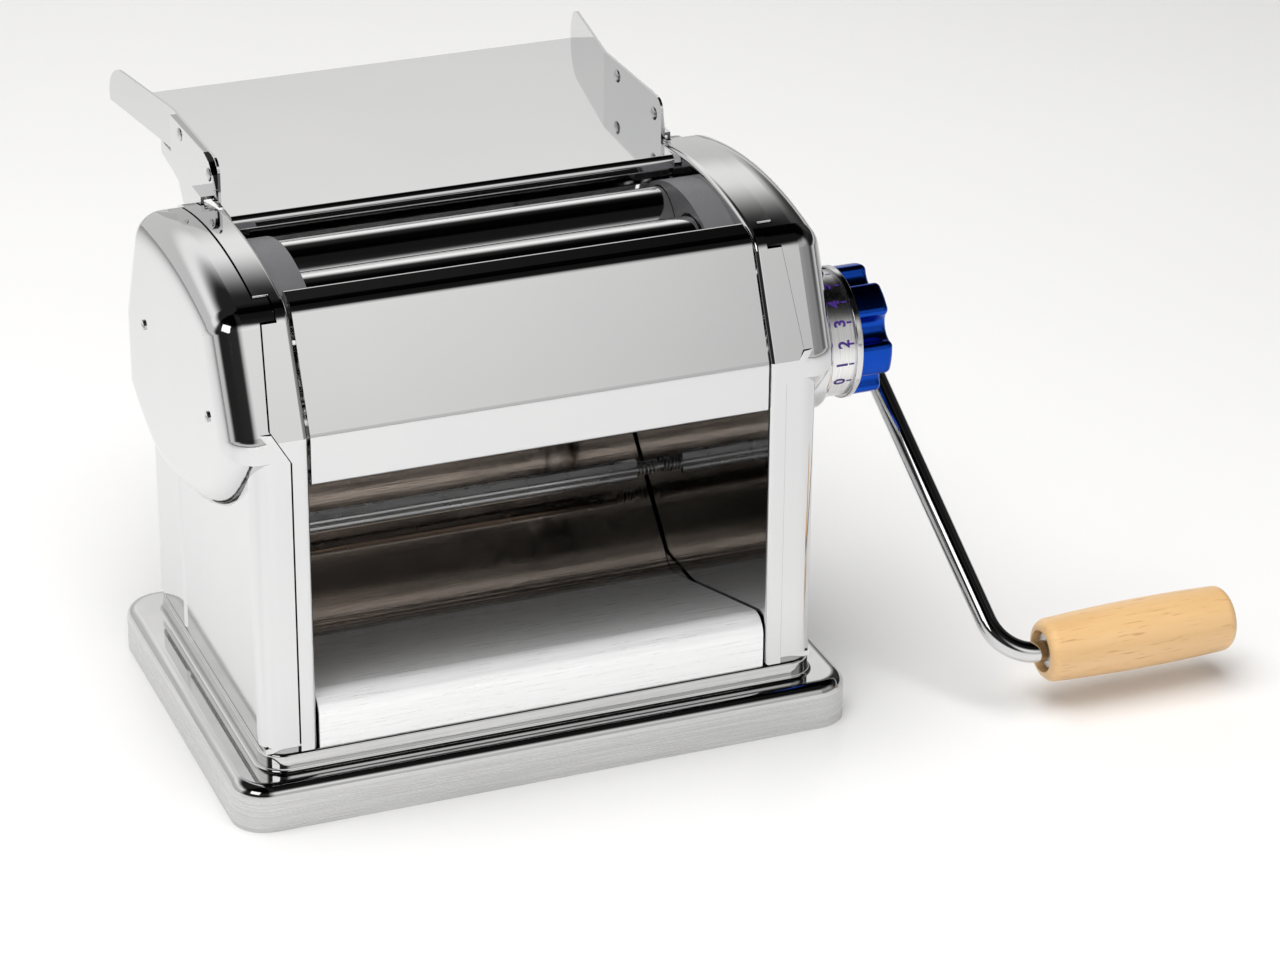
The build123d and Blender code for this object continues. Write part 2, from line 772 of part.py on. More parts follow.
cheek_start = 92.3
cheek_clearance = 0.5
with BuildPart() as cheek:
    cheek_front = -50.5
    cheek_rear = 22.0
    with BuildSketch(Plane.YZ.offset(cheek_start)):
        with BuildLine():
            Polyline((cheek_front, 229), (cheek_front, 221), (cheek_rear, 221), (cheek_rear, 229))
            ThreePointArc((cheek_front, 229), ((cheek_front + cheek_rear) / 2, 238.5), (cheek_rear, 229))
        make_face()
        with Locations(((front_roller_y + rear_roller_y) / 2, 219)):
            Rectangle(14, 6)
    extrude(amount=frame_inner - cheek_start)
    swept_radius = roller_radius + cheek_clearance
    cut_start = cheek_start - 1
    for offset_y in (-opening_travel, closing_travel):
        rod(cut_start, frame_inner, (front_roller_y + offset_y, roller_z), swept_radius, Mode.SUBTRACT)
    swept_start = front_roller_y - opening_travel
    swept_end = front_roller_y + closing_travel
    swept_view = rectangle_points(swept_start, swept_end, roller_z, roller_z + swept_radius)
    slab(cut_start, frame_inner, swept_view, mode=Mode.SUBTRACT)
    rod(cut_start, frame_inner, rear_centre, swept_radius, Mode.SUBTRACT)
save_both_sides(cheek.part, "dough_cheek")

# ------------------------------------------------------------------ thickness regulator
regulator_shaft_end = 170.0
knob_start = 158.7
knob_end = 174.0
ring_start = 155.4
drum_start = 144.2
with BuildPart() as regulator_shaft:
    rod(-cam_end - 0.5, regulator_shaft_end, (dial_y, dial_z), regulator_shaft_radius)
save(regulator_shaft.part, "regulator_shaft")


def cam_point(angle, radius):
    turn = math.radians(angle)
    return (dial_y + radius * math.cos(turn), dial_z + radius * math.sin(turn))


with BuildPart() as cam:
    rise_per_degree = cam_rise / dial_step
    open_turn = -opening_travel / rise_per_degree
    closed_turn = closing_travel / rise_per_degree
    spiral_steps = 10
    with BuildSketch(Plane.YZ.offset(cam_start)):
        with BuildLine():
            spiral = []
            for step in range(spiral_steps + 1):
                angle = open_turn + (closed_turn - open_turn) * step / spiral_steps
                spiral.append(cam_point(angle, cam_rest_radius + angle * rise_per_degree))
            Spline(*spiral)
            back = []
            for step in range(spiral_steps + 1):
                share = step / spiral_steps
                angle = closed_turn + (360 + open_turn - closed_turn) * share
                high = cam_rest_radius + closing_travel
                low = cam_rest_radius - opening_travel
                back.append(cam_point(angle, high + (low - high) * share))
            Spline(*back)
        make_face()
    extrude(amount=cam_end - cam_start)
    rod(cam_start, cam_end, (dial_y, dial_z), regulator_shaft_radius, Mode.SUBTRACT)
save(cam.part, "regulator_cam_right")
with BuildPart() as left_cam:
    mirror(cam.part, about=Plane.YZ)
save(left_cam.part, "regulator_cam_left")

with BuildPart() as dial_drum:
    rod(drum_start, ring_start, (dial_y, dial_z), dial_radius)
    rod(drum_start, ring_start, (dial_y, dial_z), regulator_shaft_radius, Mode.SUBTRACT)
save(dial_drum.part, "dial_drum")

with BuildPart() as dial_ring:
    rod(ring_start, knob_start, (dial_y, dial_z), 30.5)
    rod(ring_start, knob_start, (dial_y, dial_z), regulator_shaft_radius, Mode.SUBTRACT)
    fillet(dial_ring.edges().filter_by(GeomType.CIRCLE).group_by(SortBy.RADIUS)[-1], 0.8)
save(dial_ring.part, "dial_ring")

knob_lobes = 6
knob_radius = 29.5
valley_radius = 6.2
valley_centre = 28.7
valley_turn = 38.0
knob_softening = 3.0
knob_screw_head = 5.0
with BuildPart() as regulator_knob:
    with BuildSketch(Plane.YZ.offset(knob_start)) as knob_sketch:
        with Locations((dial_y, dial_z)):
            Circle(knob_radius)
            with PolarLocations(valley_centre, knob_lobes, start_angle=valley_turn):
                Circle(valley_radius, mode=Mode.SUBTRACT)
        fillet(knob_sketch.vertices(), knob_softening)
    extrude(amount=knob_end - knob_start)
    fillet(regulator_knob.faces().sort_by(Axis.X)[-1].edges(), knob_softening)
    rod(knob_start, regulator_shaft_end, (dial_y, dial_z), regulator_shaft_radius, Mode.SUBTRACT)
    rod(knob_start, knob_end, (dial_y, dial_z), screw_radius, Mode.SUBTRACT)
    rod(knob_end - 2, knob_end, (dial_y, dial_z), knob_screw_head, Mode.SUBTRACT)
save(regulator_knob.part, "regulator_knob")

with BuildPart() as knob_screw:
    rod(knob_end - 2, knob_end - 0.4, (dial_y, dial_z), knob_screw_head)
    rod(regulator_shaft_end, knob_end - 1, (dial_y, dial_z), screw_radius)
save(knob_screw.part, "knob_screw")

# ------------------------------------------------------------------ drive shaft
drive_centre = (drive_y, drive_z)
shaft_inner_end = 103.5
with BuildPart() as drive_shaft:
    rod(shaft_inner_end, gear_start - 0.5, drive_centre, journal_radius)
    rod(shaft_inner_end + 1.2, shaft_inner_end + 2.4, drive_centre, journal_radius, Mode.SUBTRACT)
    rod(shaft_inner_end, gear_start, drive_centre, gear_seat_radius)
    rod(gear_start - 0.5, socket_face, drive_centre, socket_radius)
    with BuildSketch(Plane.YZ.offset(socket_face)):
        with Locations(drive_centre):
            Rectangle(socket_square, socket_square)
    extrude(amount=-24, mode=Mode.SUBTRACT)
save(drive_shaft.part, "drive_shaft")

with BuildPart() as drive_circlip:
    rod(shaft_inner_end + 1.3, shaft_inner_end + 2.3, drive_centre, journal_radius + 2)
    rod(shaft_inner_end, shaft_inner_end + 4, drive_centre, gear_seat_radius, Mode.SUBTRACT)
save(drive_circlip.part, "drive_circlip")

with BuildPart() as drive_bush:
    rod(frame_inner, frame_outer + 5, drive_centre, drive_bush_radius)
    rod(frame_outer, frame_outer + 1.5, drive_centre, rear_bush_flange)
    rod(frame_inner, frame_outer + 5, drive_centre, journal_radius + running_fit, Mode.SUBTRACT)
save(drive_bush.part, "drive_shaft_bush")

# ------------------------------------------------------------------ crank
crank_start = socket_face - 22.0
crank_shoulder = socket_face + 0.4
crank_end = 321.0
knee_bend = 24.0
elbow_bend = 22.0
with BuildPart() as crank_rod:
    with BuildLine() as crank_line:
        FilletPolyline(
            (crank_start, drive_y, drive_z),
            crank_knee,
            crank_elbow,
            (crank_end, handle_y, handle_z),
            radius=(knee_bend, elbow_bend),
        )
    with BuildSketch(Plane(origin=(crank_start, drive_y, drive_z), z_dir=(1, 0, 0))):
        Circle(crank_radius)
    sweep()
    with BuildSketch(Plane.YZ.offset(crank_start)):
        with Locations(drive_centre):
            Rectangle(4 * crank_radius, 4 * crank_radius)
            Rectangle(crank_square, crank_square, mode=Mode.SUBTRACT)
    extrude(amount=crank_shoulder - crank_start, mode=Mode.SUBTRACT)
save(crank_rod.part, "crank_rod")

retainer_start = 236.5
retainer_end = 239.5
with BuildPart() as crank_retainer:
    rod(retainer_start, retainer_end, (handle_y, handle_z), 8.0)
    rod(retainer_start, retainer_end, (handle_y, handle_z), crank_radius, Mode.SUBTRACT)
save(crank_retainer.part, "crank_retainer")

counterbore_depth = 6.0
with BuildPart() as crank_handle:
    handle_plane = Plane(origin=(0, handle_y, handle_z), x_dir=(1, 0, 0), z_dir=(0, -1, 0))
    with BuildSketch(handle_plane) as half_handle:
        with BuildLine():
            Polyline((handle_start, 14.6), (handle_start, 0), (handle_end, 0), (handle_end, 15.2))
            ThreePointArc(
                (handle_start, 14.6), ((handle_start + handle_end) / 2, handle_radius), (handle_end, 15.2)
            )
        make_face()
        fillet(half_handle.vertices().sort_by(Axis.Y)[-2:], 5)
    revolve(axis=Axis((0, handle_y, handle_z), (1, 0, 0)))
    rod(handle_start, handle_start + counterbore_depth, (handle_y, handle_z), 10.0, Mode.SUBTRACT)
    rod(handle_start, crank_end + 0.5, (handle_y, handle_z), crank_radius + 0.08, Mode.SUBTRACT)
save(crank_handle.part, "crank_handle")

# ------------------------------------------------------------------ feed tray
tray_front = 24.6
tray_flare_y = 114.5
tray_back = 185.5
tray_back_half = 115.2
guide_sheet = 1.2
guide_front = 41.0
guide_back = 190.0
guide_top_front = 260.0
guide_top_back = 256.0
guide_front_radius = 15.0
guide_back_radius = 6.0
bracket_sheet = 1.5
bracket_corner = 1.5
rivet_places = [(50.0, 250.5), (97.0, 252.0)]
rivet_radius = 1.6
tray_middle = tray_top - tray_sheet / 2

with BuildPart() as feed_tray:
    tray_path = [(tray_front, tray_top - 5.5), (tray_front, tray_middle), (tray_flare_y, tray_middle)]
    extrude(sheet_sketch(0, tray_path, (2.5,), tray_sheet), amount=tray_half, both=True)
    with BuildSketch(Plane.XY.offset(tray_top - tray_sheet)):
        with BuildLine():
            Polyline(
                (-tray_half, tray_flare_y - 1),
                (tray_half, tray_flare_y - 1),
                (tray_half, tray_flare_y),
                (tray_back_half, tray_back),
                (-tray_back_half, tray_back),
                (-tray_half, tray_flare_y),
                close=True,
            )
        make_face()
    extrude(amount=tray_sheet)
save(feed_tray.part, "feed_tray")

guide_flare = (tray_back_half - tray_half) / (tray_back - tray_flare_y)
with BuildPart() as tray_guide:
    with BuildSketch(Plane.XY.offset(tray_top - tray_sheet)):
        with BuildLine():
            Polyline(
                (tray_half, guide_front),
                (tray_half, tray_flare_y),
                (tray_half + guide_flare * (guide_back - tray_flare_y), guide_back),
                (tray_half + guide_sheet + guide_flare * (guide_back - tray_flare_y), guide_back),
                (tray_half + guide_sheet, tray_flare_y),
                (tray_half + guide_sheet, guide_front),
                close=True,
            )
        make_face()
    extrude(amount=30)
    with BuildSketch(Plane.YZ) as side_view:
        with BuildLine():
            Polyline(
                (guide_front, tray_top - tray_sheet),
                (guide_back - 3, tray_top - tray_sheet),
                (guide_back, guide_top_back),
                (guide_front, guide_top_front),
                close=True,
            )
        make_face()
        fillet(side_view.vertices().sort_by(Axis.Z)[-1], guide_front_radius)
        fillet(side_view.vertices().sort_by(Axis.Y)[-1], guide_back_radius)
    extrude(side_view.sketch, amount=2 * tray_half, mode=Mode.INTERSECT)
    for place in rivet_places:
        rod(tray_half, tray_half + guide_sheet, place, rivet_radius, Mode.SUBTRACT)
save_both_sides(tray_guide.part, "tray_guide")

bracket_start = tray_half + guide_sheet
bracket_end = bracket_start + bracket_sheet
with BuildPart() as tray_bracket:
    bracket_view = [
        (guide_front + 2, 239.6),
        (64, 239.6),
        (72, 229),
        (86, 217),
        (94, 217),
        (102.5, 227.5),
        (131, 231),
        (131, 237.2),
        (113.5, 237.2),
        (113.5, 256),
        (guide_front + 17, 258.3),
        (guide_front + 9, 256.5),
        (guide_front + 4, 252),
        (guide_front + 2, 245.5),
    ]
    slab(bracket_start, bracket_end, bracket_view, bracket_corner)
    # the foot: bent outwards over the crown, then down through the slot in the rim
    foot_start = 111.0
    slab(bracket_start, foot_start + bracket_sheet, rectangle_points(48, 62, 239.6, 241.1))
    slab(foot_start, foot_start + bracket_sheet, rectangle_points(48, 62, 228, 241.1))
    for place in rivet_places:
        rod(bracket_start, bracket_end, place, rivet_radius, Mode.SUBTRACT)
save_both_sides(tray_bracket.part, "tray_bracket")

with BuildPart() as tray_rivets:
    for place in rivet_places:
        rod(tray_half, bracket_end, place, rivet_radius)
        rod(tray_half - 1.2, tray_half, place, 3.2)
        rod(bracket_end, bracket_end + 1.0, place, 3.2)
save_pair(tray_rivets.part, "tray_rivets")
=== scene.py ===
import json
import math

import bmesh
import bpy
from mathutils import Matrix, Vector


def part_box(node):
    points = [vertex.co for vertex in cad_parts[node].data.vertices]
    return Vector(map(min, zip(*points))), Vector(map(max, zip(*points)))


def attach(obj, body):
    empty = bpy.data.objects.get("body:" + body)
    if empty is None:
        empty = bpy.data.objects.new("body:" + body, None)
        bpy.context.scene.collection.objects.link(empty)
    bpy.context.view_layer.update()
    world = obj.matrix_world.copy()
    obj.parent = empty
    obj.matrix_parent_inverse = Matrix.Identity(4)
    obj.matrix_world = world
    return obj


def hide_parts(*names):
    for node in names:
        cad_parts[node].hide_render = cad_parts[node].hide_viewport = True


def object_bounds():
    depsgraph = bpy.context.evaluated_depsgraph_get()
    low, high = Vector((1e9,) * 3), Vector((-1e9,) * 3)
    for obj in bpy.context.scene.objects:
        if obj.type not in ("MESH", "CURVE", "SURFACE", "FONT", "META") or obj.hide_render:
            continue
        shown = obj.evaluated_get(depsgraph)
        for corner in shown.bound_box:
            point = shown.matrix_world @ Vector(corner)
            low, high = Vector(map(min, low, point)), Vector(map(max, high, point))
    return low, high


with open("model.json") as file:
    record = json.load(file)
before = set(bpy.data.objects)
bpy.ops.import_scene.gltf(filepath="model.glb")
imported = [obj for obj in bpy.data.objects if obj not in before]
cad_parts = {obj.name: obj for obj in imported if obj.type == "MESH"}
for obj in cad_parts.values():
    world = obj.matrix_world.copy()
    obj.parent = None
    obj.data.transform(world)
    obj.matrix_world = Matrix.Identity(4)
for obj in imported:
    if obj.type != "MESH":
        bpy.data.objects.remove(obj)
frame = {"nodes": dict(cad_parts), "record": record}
cad_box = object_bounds()

MM = 0.001
NOISE_ROUGHNESS = 0.55
record = frame["record"]
nodes = frame["nodes"]


# ------------------------------------------------------------------ node helpers
def new_material(name):
    """An empty node material and its shader."""
    material = bpy.data.materials.new(name)
    material.use_nodes = True
    return material, material.node_tree.nodes["Principled BSDF"]


def add_node(material, kind, **values):
    """A node with its properties and input values set by name."""
    node = material.node_tree.nodes.new(kind)
    for key, value in values.items():
        if key in node.inputs:
            node.inputs[key].default_value = value
        else:
            setattr(node, key, value)
    return node


def link(material, source, output, target, socket):
    """Joins an output of one node to an input of another."""
    material.node_tree.links.new(source.outputs[output], target.inputs[socket])


def object_coordinates(material, scale, turn):
    """Object coordinates in metres, stretched and turned."""
    place = add_node(material, "ShaderNodeTexCoord")
    mapping = add_node(material, "ShaderNodeMapping")
    mapping.inputs["Scale"].default_value = scale
    mapping.inputs["Rotation"].default_value = turn
    link(material, place, "Object", mapping, "Vector")
    return mapping


def noise(material, scale, detail=4.0, stretch=(1, 1, 1), turn=(0, 0, 0)):
    """Fractal noise on object coordinates; the scale is in features per metre."""
    mapping = object_coordinates(material, stretch, turn)
    texture = add_node(material, "ShaderNodeTexNoise", Scale=scale, Detail=detail)
    texture.inputs["Roughness"].default_value = NOISE_ROUGHNESS
    link(material, mapping, "Vector", texture, "Vector")
    return texture


def ramp(material, source, output, stops):
    """A colour ramp fed by the given output; stops are (position, colour)."""
    node = add_node(material, "ShaderNodeValToRGB")
    elements = node.color_ramp.elements
    while len(elements) < len(stops):
        elements.new(0.5)
    for element, (position, colour) in zip(elements, stops):
        element.position = position
        red, green, blue = colour if len(colour) == 3 else colour * 3
        element.color = (red, green, blue, 1)
    link(material, source, output, node, "Fac")
    return node


def bump(material, shader, height, output, strength, distance, under=None):
    """Relief from a height output, laid over the relief already there."""
    node = add_node(material, "ShaderNodeBump", Strength=strength, Distance=distance)
    link(material, height, output, node, "Height")
    if under is not None:
        link(material, under, "Normal", node, "Normal")
    link(material, node, "Normal", shader, "Normal")


def band(material, axis, start, end, interpolation="LINEAR"):
    """A mask along one object axis: 0 at the start, 1 at the end."""
    place = add_node(material, "ShaderNodeTexCoord")
    split = add_node(material, "ShaderNodeSeparateXYZ")
    link(material, place, "Object", split, "Vector")
    mask = add_node(material, "ShaderNodeMapRange", interpolation_type=interpolation)
    mask.inputs["From Min"].default_value = start
    mask.inputs["From Max"].default_value = end
    link(material, split, axis, mask, "Value")
    return mask


def blend(material, mask, first, second, kind="FLOAT"):
    """Two ramps mixed by a mask; gives the mix node and the number of its output."""
    # the shared sockets of the mix node: first and second input, and output, for each kind
    low, high, output = (2, 3, 0) if kind == "FLOAT" else (6, 7, 2)
    mix = add_node(material, "ShaderNodeMix", data_type=kind)
    link(material, mask, "Result", mix, 0)
    link(material, first, "Color", mix, low)
    link(material, second, "Color", mix, high)
    return mix, output


# ------------------------------------------------------------------ materials
def polished_steel(name, colour=0.71, rough=0.055, haze=0.02, waviness=0.012):
    """Mirror-polished sheet: faint haze, buffing scratches and the slight waviness of pressing."""
    material, shader = new_material(name)
    shader.inputs["Metallic"].default_value = 1.0
    tint = noise(material, 9, 3)
    cool = (colour * 0.965, colour * 0.97, colour * 0.98)
    shade = ramp(material, tint, "Fac", [(0.3, cool), (0.7, (colour,))])
    link(material, shade, "Color", shader, "Base Color")
    patches = noise(material, 22, 5)
    gloss = ramp(material, patches, "Fac", [(0.35, (rough,)), (0.75, (rough + haze,))])
    link(material, gloss, "Color", shader, "Roughness")
    pressing = noise(material, 14, 1.5)
    wave = add_node(material, "ShaderNodeBump", Strength=waviness, Distance=0.0006)
    link(material, pressing, "Fac", wave, "Height")
    buffing = noise(material, 900, 3, (1, 0.06, 0.5), (0.2, 0.3, 0.6))
    bump(material, shader, buffing, "Fac", 0.012, 0.0001, wave)
    return material


def brushed_steel(name, colour, rough, stretch, depth=0.12, scale=1400):
    """Steel with a directional grain, which runs along the axes whose stretch is small."""
    material, shader = new_material(name)
    shader.inputs["Metallic"].default_value = 1.0
    grain = noise(material, scale, 3, stretch)
    shade = ramp(material, grain, "Fac", [(0.3, (colour * 0.86,)), (0.7, (colour * 1.06,))])
    link(material, shade, "Color", shader, "Base Color")
    patches = noise(material, 30, 4)
    gloss = ramp(material, patches, "Fac", [(0.3, (rough * 0.8,)), (0.7, (rough * 1.3,))])
    link(material, gloss, "Color", shader, "Roughness")
    bump(material, shader, grain, "Fac", depth, 0.0002)
    return material


def base_steel():
    """The foot: polished on top, horizontally brushed round its upright wall."""
    material, shader = new_material("base_steel")
    shader.inputs["Metallic"].default_value = 1.0
    wall = band(material, "Z", WALL_TOP + WALL_FADE, WALL_TOP - WALL_FADE)
    grain = noise(material, 1500, 3, (0.012, 0.012, 1))
    brushed = ramp(material, grain, "Fac", [(0.3, (0.20,)), (0.7, (0.34,))])
    patches = noise(material, 20, 4)
    polished = ramp(material, patches, "Fac", [(0.35, (0.05,)), (0.75, (0.10,))])
    gloss, output = blend(material, wall, polished, brushed)
    link(material, gloss, output, shader, "Roughness")
    shade = ramp(material, grain, "Fac", [(0.3, (0.54,)), (0.7, (0.68,))])
    link(material, shade, "Color", shader, "Base Color")
    relief = add_node(material, "ShaderNodeBump", Distance=0.00015)
    strength = add_node(material, "ShaderNodeMath", operation="MULTIPLY")
    strength.inputs[1].default_value = 0.22
    link(material, wall, "Result", strength, 0)
    link(material, strength, "Value", relief, "Strength")
    link(material, grain, "Fac", relief, "Height")
    link(material, relief, "Normal", shader, "Normal")
    return material


def chute_steel():
    """The chute: satin on its floor, where the dough slides out, and bright on the slide behind, whose
    warm brown colour is a painted reflection.
    """
    material, shader = new_material("chute_steel")
    slide = band(material, "Y", CHUTE_BEND - 10 * MM, CHUTE_BEND + 2 * MM, "SMOOTHSTEP")
    grain = noise(material, 1400, 3, (0.03, 1, 1))
    satin = ramp(material, grain, "Fac", [(0.3, (0.26,)), (0.7, (0.36,))])
    patches = noise(material, 24, 4)
    bright = ramp(material, patches, "Fac", [(0.3, (0.06,)), (0.7, (0.10,))])
    gloss, output = blend(material, slide, satin, bright)
    link(material, gloss, output, shader, "Roughness")
    pale = ramp(material, grain, "Fac", [(0.3, (0.86,)), (0.7, (0.95,))])
    # the slide's warm brown tint is a painted reflection of warm surroundings, not the steel's own
    # colour
    painted_reflection_tint = ramp(material, patches, "Fac", [(0.3, (0.50, 0.42, 0.36)), (0.7, (0.58, 0.49, 0.42))])
    shade, output = blend(material, slide, pale, painted_reflection_tint, "RGBA")
    link(material, shade, output, shader, "Base Color")
    metal = add_node(material, "ShaderNodeMapRange")
    metal.inputs["To Min"].default_value = 0.30
    link(material, slide, "Result", metal, "Value")
    link(material, metal, "Result", shader, "Metallic")
    bump(material, shader, grain, "Fac", 0.04, 0.0002)
    return material


def anodised(name, colour, rough):
    """Coloured metal with a fine bead-blasted grain."""
    material, shader = new_material(name)
    shader.inputs["Metallic"].default_value = 1.0
    tint = noise(material, 60, 3)
    deep = tuple(c * 0.86 for c in colour)
    shade = ramp(material, tint, "Fac", [(0.3, deep), (0.7, colour)])
    link(material, shade, "Color", shader, "Base Color")
    blasting = noise(material, 2600, 2)
    gloss = ramp(material, blasting, "Fac", [(0.3, (rough * 0.88,)), (0.7, (rough * 1.15,))])
    link(material, gloss, "Color", shader, "Roughness")
    bump(material, shader, blasting, "Fac", 0.04, 0.0001)
    return material


def beech():
    """Varnished beech: straight grain along the grip, with the short dark flecks of the wood's rays."""
    material, shader = new_material("beech")
    growth = noise(material, 55, 5, (0.10, 1, 1), (0.0, 0.05, 0.0))
    wood_tones = [(0.25, (0.66, 0.40, 0.17)), (0.5, (0.76, 0.49, 0.235)), (0.75, (0.83, 0.57, 0.30))]
    body = ramp(material, growth, "Fac", wood_tones)
    flecks = noise(material, 900, 2, (0.07, 1, 1), (0.0, 0.03, 0.0))
    fleck_mask = ramp(material, flecks, "Fac", [(0.60, (0.0,)), (0.72, (0.7,))])
    mix = add_node(material, "ShaderNodeMix", data_type="RGBA", blend_type="MIX")
    link(material, fleck_mask, "Color", mix, 0)
    link(material, body, "Color", mix, 6)
    mix.inputs[7].default_value = (0.50, 0.27, 0.11, 1)
    link(material, mix, 2, shader, "Base Color")
    varnish = noise(material, 40, 3)
    gloss = ramp(material, varnish, "Fac", [(0.3, (0.30,)), (0.7, (0.42,))])
    link(material, gloss, "Color", shader, "Roughness")
    shader.inputs["Coat Weight"].default_value = 0.35
    shader.inputs["Coat Roughness"].default_value = 0.18
    bump(material, shader, flecks, "Fac", 0.10, 0.0002)
    return material


def plain(name, colour, rough, grain_scale=700, depth=0.08):
    """A moulded or printed surface with fine texture and slight tone variation."""
    material, shader = new_material(name)
    tone = noise(material, 45, 4)
    shade = ramp(material, tone, "Fac", [(0.3, tuple(c * 0.85 for c in colour)), (0.7, colour)])
    link(material, shade, "Color", shader, "Base Color")
    texture = noise(material, grain_scale, 3)
    gloss = ramp(material, texture, "Fac", [(0.3, (rough * 0.85,)), (0.7, (rough * 1.2,))])
    link(material, gloss, "Color", shader, "Roughness")
    bump(material, shader, texture, "Fac", depth, 0.0002)
    return material


WALL_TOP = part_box("base_shell")[0][2] + 16.5 * MM
WALL_FADE = 1.5 * MM
CHUTE_BEND = 26.3 * MM

MATERIALS = {
    "polished_steel": polished_steel("polished_steel"),
    "base_steel": base_steel(),
    "plate_steel": brushed_steel("plate_steel", 0.50, 0.28, (0.03, 1, 1)),
    "roller_steel": polished_steel("roller_steel", 0.82, 0.06, 0.04, 0.0),
    "machined_steel": brushed_steel("machined_steel", 0.60, 0.20, (1, 0.05, 0.05)),
    "gear_steel": brushed_steel("gear_steel", 0.34, 0.32, (1, 1, 1), 0.2, 700),
    "spring_steel": brushed_steel("spring_steel", 0.42, 0.25, (1, 0.2, 0.2)),
    "bearing_bronze": anodised("bearing_bronze", (0.62, 0.40, 0.17), 0.3),
    "blue_anodised": anodised("blue_anodised", (0.010, 0.075, 0.50), 0.24),
    "dial_silver": brushed_steel("dial_silver", 0.86, 0.30, (1, 0.03, 0.03), 0.05),
    "beech": beech(),
    "foot_rubber": plain("foot_rubber", (0.03, 0.03, 0.032), 0.8),
    "cheek_grey": plain("cheek_grey", (0.12, 0.12, 0.125), 0.45),
}
CHUTE_STEEL = chute_steel()
NUMBER_INK = plain("number_ink", (0.055, 0.02, 0.20), 0.5, 500, 0.03)

for entry in record["subparts"]:
    node = nodes[entry["node"]]
    node.data.materials.clear()
    node.data.materials.append(MATERIALS[entry["material_slot"]])
nodes["chute"].data.materials[0] = CHUTE_STEEL


# ------------------------------------------------------------------ mesh helpers
def finish_piece(piece, material, body, replaced=()):
    """Give a new piece its finish, the body it rides on and the CAD nodes it stands for."""
    piece.data.materials.append(material)
    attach(piece, body)
    if replaced:
        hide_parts(*replaced)


def mesh_piece(name, mesh_builder):
    """A smooth-shaded object from a bmesh."""
    mesh = bpy.data.meshes.new(name)
    mesh_builder.normal_update()
    mesh_builder.to_mesh(mesh)
    mesh_builder.free()
    for polygon in mesh.polygons:
        polygon.use_smooth = True
    piece = bpy.data.objects.new(name, mesh)
    bpy.context.collection.objects.link(piece)
    return piece


# ------------------------------------------------------------------ dial numbers
drum_low, drum_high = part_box("dial_drum")
dial_centre = (drum_low + drum_high) / 2
dial_radius = (drum_high[1] - drum_low[1]) / 2
DIAL_STEP = math.radians(19.4)
DIAL_ZERO = math.radians(-25.8)
NUMBERS = range(11)
NUMBER_HEIGHT = 7.4 * MM
NUMBER_PLACE = 4.6 * MM
NUMBER_BOLDNESS = 0.032
TICK_LENGTH = 2.5 * MM
TICK_WIDTH = 0.9 * MM
TICK_PLACE = 3.2 * MM
INK_LIFT = 0.06 * MM


def dial_point(along, turn):
    """A point of the ink on the drum: along the axis, turned up from its front."""
    radius = dial_radius + INK_LIFT
    across = dial_centre[1] - radius * math.cos(turn)
    return Vector((along, across, dial_centre[2] + radius * math.sin(turn)))


def wrapped_text(builder, text, along, turn):
    """Add a character wrapped on the drum; it reads upwards, its head towards the machine."""
    curve = bpy.data.curves.new("character", "FONT")
    curve.body = text
    curve.size = NUMBER_HEIGHT
    curve.align_x = "CENTER"
    curve.align_y = "CENTER"
    curve.offset = NUMBER_HEIGHT * NUMBER_BOLDNESS
    holder = bpy.data.objects.new("character", curve)
    bpy.context.collection.objects.link(holder)
    bpy.context.view_layer.update()
    evaluated = holder.evaluated_get(bpy.context.evaluated_depsgraph_get())
    mesh = bpy.data.meshes.new_from_object(evaluated)
    middle = sum((v.co for v in mesh.vertices), Vector()) / len(mesh.vertices)
    made = []
    for vertex in mesh.vertices:
        across = vertex.co.x - middle.x
        up = vertex.co.y - middle.y
        made.append(builder.verts.new(dial_point(along - up, turn + across / dial_radius)))
    for polygon in mesh.polygons:
        builder.faces.new([made[index] for index in polygon.vertices])
    bpy.data.objects.remove(holder)
    bpy.data.meshes.remove(mesh)


number_mesh = bmesh.new()
tick_mesh = bmesh.new()
for number in NUMBERS:
    turn = DIAL_ZERO + number * DIAL_STEP
    wrapped_text(number_mesh, str(number), drum_low[0] + NUMBER_PLACE, turn)
    half = TICK_WIDTH / 2 / dial_radius
    start = drum_high[0] - TICK_PLACE
    end = start + TICK_LENGTH
    corners = [(start, -half), (end, -half), (end, half), (start, half)]
    tick_mesh.faces.new([tick_mesh.verts.new(dial_point(x, turn + a)) for x, a in corners])
finish_piece(mesh_piece("dial_numbers", number_mesh), NUMBER_INK, "regulator")
finish_piece(mesh_piece("dial_ticks", tick_mesh), NUMBER_INK, "regulator")

# ------------------------------------------------------------------ tray rivets
def lathe(builder, centre, direction, profile, steps=40):
    """A turned shape round an axis along X: profile points are (distance along, radius)."""
    rings = []
    for along, radius in profile:
        ring = []
        for step in range(steps):
            turn = 2 * math.pi * step / steps
            offset = (direction * along, radius * math.cos(turn), radius * math.sin(turn))
            ring.append(builder.verts.new(Vector(centre) + Vector(offset)))
        rings.append(ring)
    for near, far in zip(rings, rings[1:]):
        for index in range(steps):
            after = (index + 1) % steps
            corners = [near[index], near[after], far[after], far[index]]
            builder.faces.new(corners if direction > 0 else corners[::-1])
    builder.faces.new(rings[0][::-1] if direction > 0 else rings[0])
    builder.faces.new(rings[-1] if direction > 0 else rings[-1][::-1])


